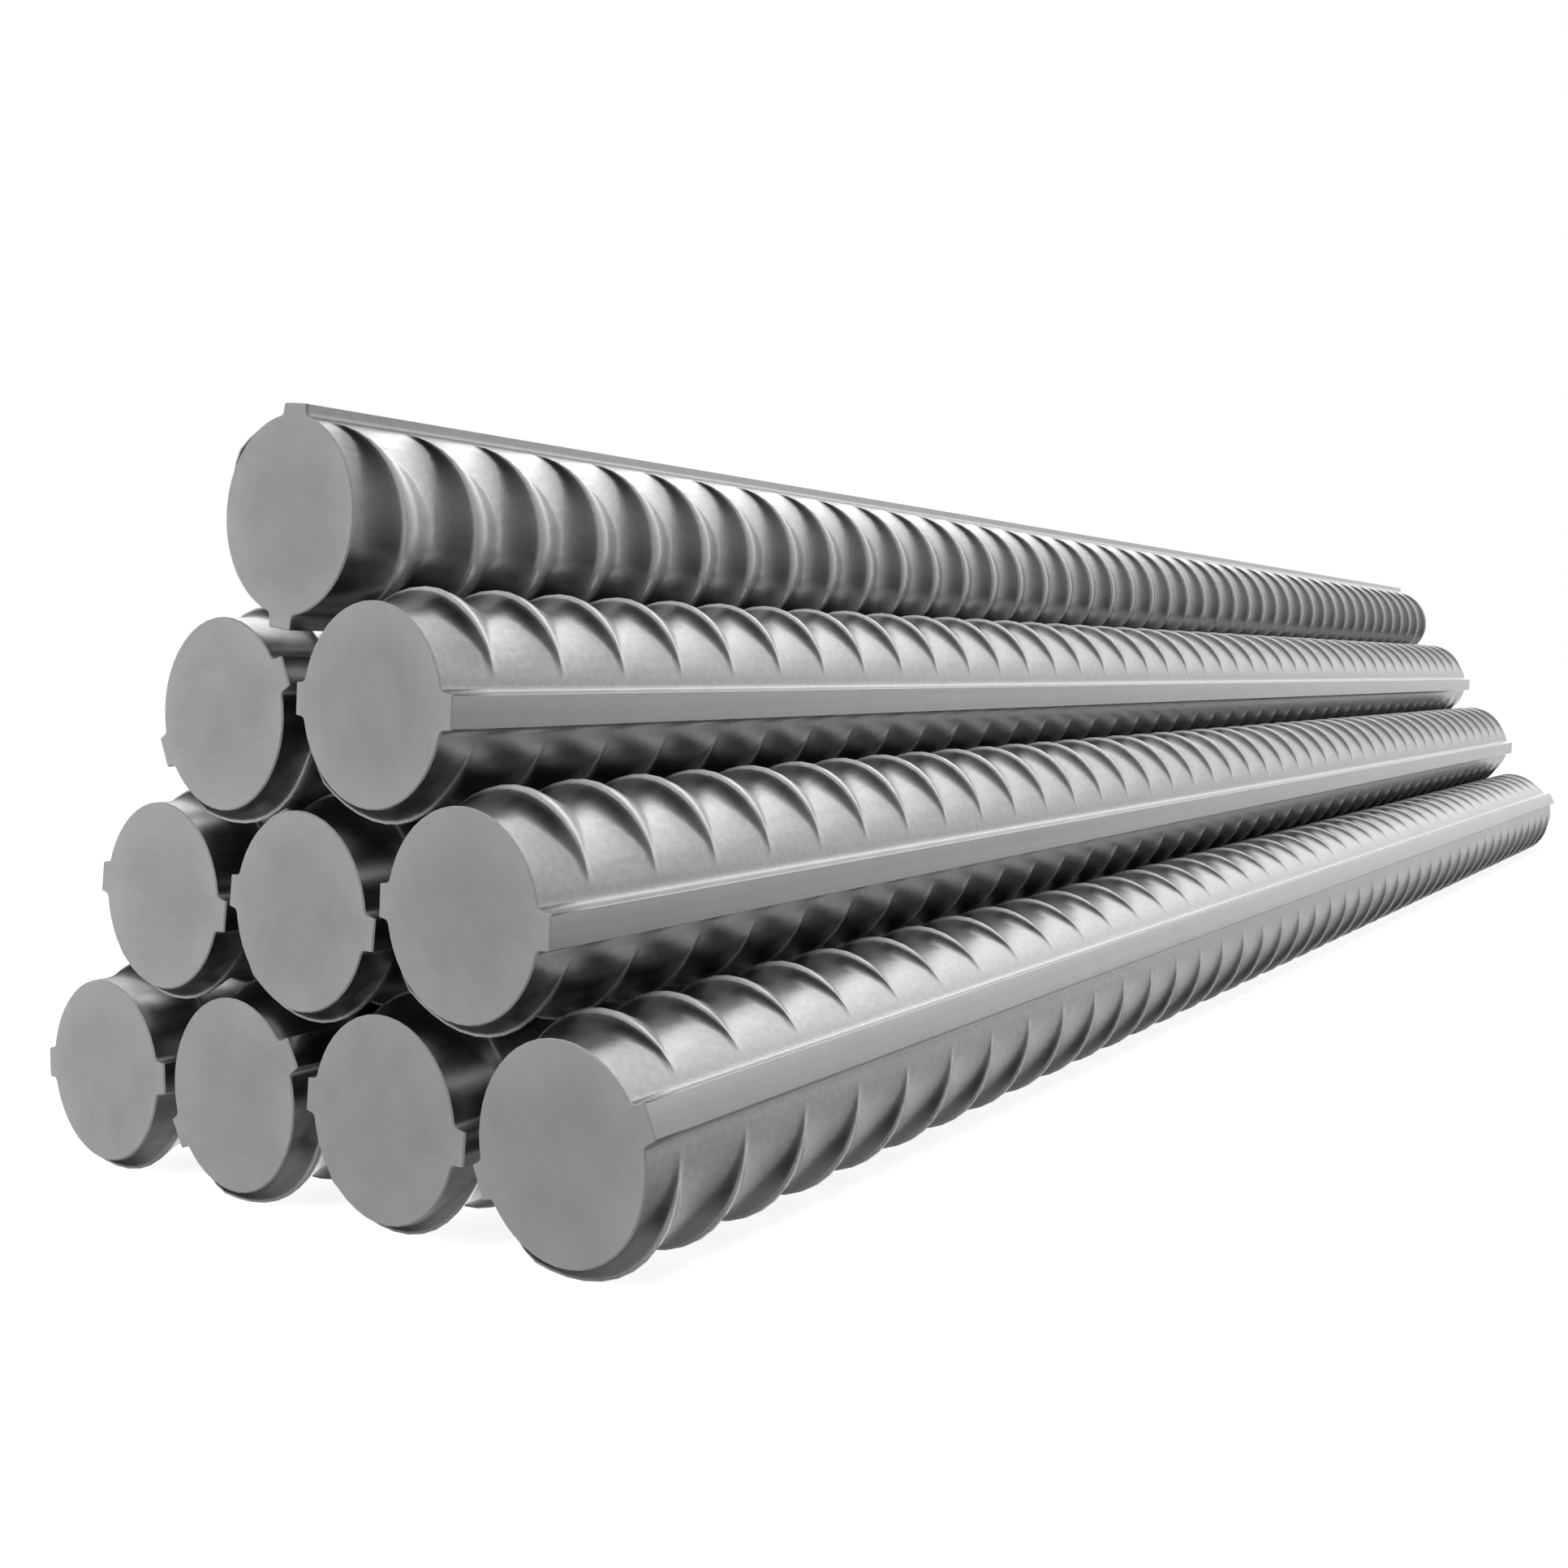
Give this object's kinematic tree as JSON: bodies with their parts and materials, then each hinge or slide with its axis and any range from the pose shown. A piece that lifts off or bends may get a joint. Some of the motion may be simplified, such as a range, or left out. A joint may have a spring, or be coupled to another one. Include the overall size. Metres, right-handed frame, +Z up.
{
  "type": "rebar bundle",
  "caption": "Pile of straight ribbed steel reinforcing bars, stacked in rows that narrow to a single bar on top, with sawn ends.",
  "frame": {"origin": "middle of the pile's footprint on the surface it lies on", "axes": "+X along the bars from the near ends to the far ends, +Y across the pile to the left as seen from the near ends, +Z up"},
  "size_m": [0.55, 0.1252, 0.111],
  "materials": {
    "rolled_steel": "hot-rolled steel cleaned to bare metal, satin on the rolled sides and matt grey on the sawn ends"
  },
  "bodies": {
    "root": {"bar_row1_1": "rolled_steel", "bar_row1_2": "rolled_steel", "bar_row1_3": "rolled_steel", "bar_row1_4": "rolled_steel", "bar_row2_1": "rolled_steel", "bar_row2_2": "rolled_steel", "bar_row2_3": "rolled_steel", "bar_row3_1": "rolled_steel", "bar_row3_2": "rolled_steel", "bar_row4_1": "rolled_steel"}
  },
  "joints": []
}
